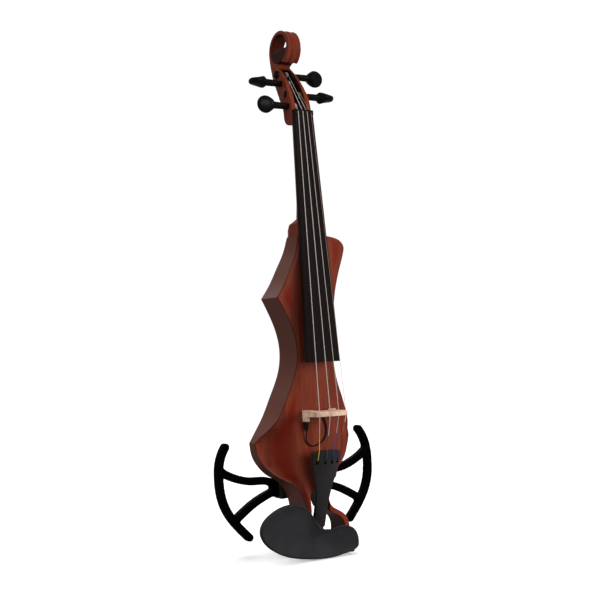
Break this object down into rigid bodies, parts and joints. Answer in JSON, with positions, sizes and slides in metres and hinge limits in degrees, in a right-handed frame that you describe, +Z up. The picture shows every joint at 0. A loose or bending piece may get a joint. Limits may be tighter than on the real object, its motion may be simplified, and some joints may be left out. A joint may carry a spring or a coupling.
{
  "type": "electric violin",
  "caption": "Full-size open-bodied electric violin with ring scroll, bridge pickup, chin rest, sliding shoulder wings and rear electronics, hung by its neck",
  "frame": {"origin": "the point in the neck, 25 mm below the nut, that a neck hanger's yoke closes round", "axes": "+Z up along the strings towards the scroll, +X towards the treble (E string) side, +Y towards the back"},
  "size_m": [0.2031, 0.0912, 0.5762],
  "materials": {
    "red_wood": "semi-gloss red-brown varnish",
    "black_wood": "satin ebony",
    "maple": "bare satin maple",
    "string_wire": "wound wire with coloured silks at both ends",
    "black_rubber": "matte",
    "black_plastic": "satin moulded plastic",
    "bright_steel": "polished",
    "cork": "natural cork, matt",
    "battery_case": "satin",
    "circuit_green": "lacquered"
  },
  "bodies": {
    "violin": {"back_cover": "black_plastic", "battery": "battery_case", "battery_lead": "black_rubber", "battery_snap": "black_plastic", "body_core": "red_wood", "bracket_screws": "bright_steel", "bridge": "maple", "cable_boot": "black_rubber", "chin_clamp": "bright_steel", "chin_corks": "cork", "chin_plate": "black_plastic", "chin_studs": "bright_steel", "cover_screws": "bright_steel", "door_pins": "bright_steel", "end_button": "black_wood", "fingerboard": "black_wood", "neck_scroll": "red_wood", "nut": "black_wood", "output_jack": "bright_steel", "phones_jack": "bright_steel", "pickup_block": "black_plastic", "pickup_cable": "black_rubber", "pickup_plug": "black_plastic", "preamp_board": "circuit_green", "string_a": "string_wire", "string_balls": "string_wire", "string_d": "string_wire", "string_e": "string_wire", "string_g": "string_wire", "string_sleeve": "black_rubber", "tail_cord": "black_rubber", "tail_saddle": "black_wood", "tailpiece": "black_wood", "tone_pot": "bright_steel", "top_plate": "red_wood", "volume_pot": "bright_steel", "wing_bracket": "black_plastic"},
    "tuning_peg_g": {"peg_g": "black_wood", "winding_g": "string_wire"},
    "tuning_peg_d": {"peg_d": "black_wood", "winding_d": "string_wire"},
    "tuning_peg_a": {"peg_a": "black_wood", "winding_a": "string_wire"},
    "tuning_peg_e": {"peg_e": "black_wood", "winding_e": "string_wire"},
    "bass_wing": {"wing_bass": "black_plastic"},
    "treble_wing": {"wing_treble": "black_plastic"},
    "bass_thumb_screw": {"wing_screw_bass": "bright_steel"},
    "treble_thumb_screw": {"wing_screw_treble": "bright_steel"},
    "bass_clamp_barrel": {"clamp_barrel_bass": "bright_steel"},
    "treble_clamp_barrel": {"clamp_barrel_treble": "bright_steel"},
    "tone_control": {"tone_knob": "black_plastic"},
    "volume_control": {"volume_knob": "black_plastic"},
    "back_hatch": {"battery_door": "black_plastic"}
  },
  "joints": [
    {"name": "peg_g_turn", "type": "hinge", "parent": "violin", "child": "tuning_peg_g", "pos_m": [0, 0.003, 0.0355], "axis": [1, 0, 0], "continuous": true},
    {"name": "peg_e_turn", "type": "hinge", "parent": "violin", "child": "tuning_peg_e", "pos_m": [0, 0.0075, 0.0495], "axis": [1, 0, 0], "continuous": true},
    {"name": "peg_d_turn", "type": "hinge", "parent": "violin", "child": "tuning_peg_d", "pos_m": [0, 0.0183, 0.064], "axis": [1, 0, 0], "continuous": true},
    {"name": "peg_a_turn", "type": "hinge", "parent": "violin", "child": "tuning_peg_a", "pos_m": [0, 0.027, 0.076], "axis": [1, 0, 0], "continuous": true},
    {"name": "bass_wing_slide", "type": "slide", "parent": "violin", "child": "bass_wing", "axis": [-0.999, 0, -0.0436], "range_m": [0, 0.012]},
    {"name": "bass_thumb_screw_turn", "type": "hinge", "parent": "violin", "child": "bass_thumb_screw", "pos_m": [-0.01698, 0.039, -0.38224], "axis": [0, 1, 0], "continuous": true},
    {"name": "bass_barrel_turn", "type": "hinge", "parent": "violin", "child": "bass_clamp_barrel", "pos_m": [-0.024, 0.003, -0.446], "axis": [0, 1, 0], "continuous": true},
    {"name": "treble_wing_slide", "type": "slide", "parent": "violin", "child": "treble_wing", "axis": [0.999, 0, 0.0436], "range_m": [0, 0.012]},
    {"name": "treble_thumb_screw_turn", "type": "hinge", "parent": "violin", "child": "treble_thumb_screw", "pos_m": [0.01698, 0.039, -0.38076], "axis": [0, 1, 0], "continuous": true},
    {"name": "treble_barrel_turn", "type": "hinge", "parent": "violin", "child": "treble_clamp_barrel", "pos_m": [0.024, 0.003, -0.446], "axis": [0, 1, 0], "continuous": true},
    {"name": "tone_turn", "type": "hinge", "parent": "violin", "child": "tone_control", "pos_m": [0, 0.025, -0.2145], "axis": [0, 1, 0], "range_deg": [0, 280]},
    {"name": "volume_turn", "type": "hinge", "parent": "violin", "child": "volume_control", "pos_m": [0, 0.025, -0.1945], "axis": [0, 1, 0], "range_deg": [0, 280]},
    {"name": "battery_door_hinge", "type": "hinge", "parent": "violin", "child": "back_hatch", "pos_m": [0, 0.02175, -0.30845], "axis": [1, 0, 0], "range_deg": [0, 90]}
  ]
}
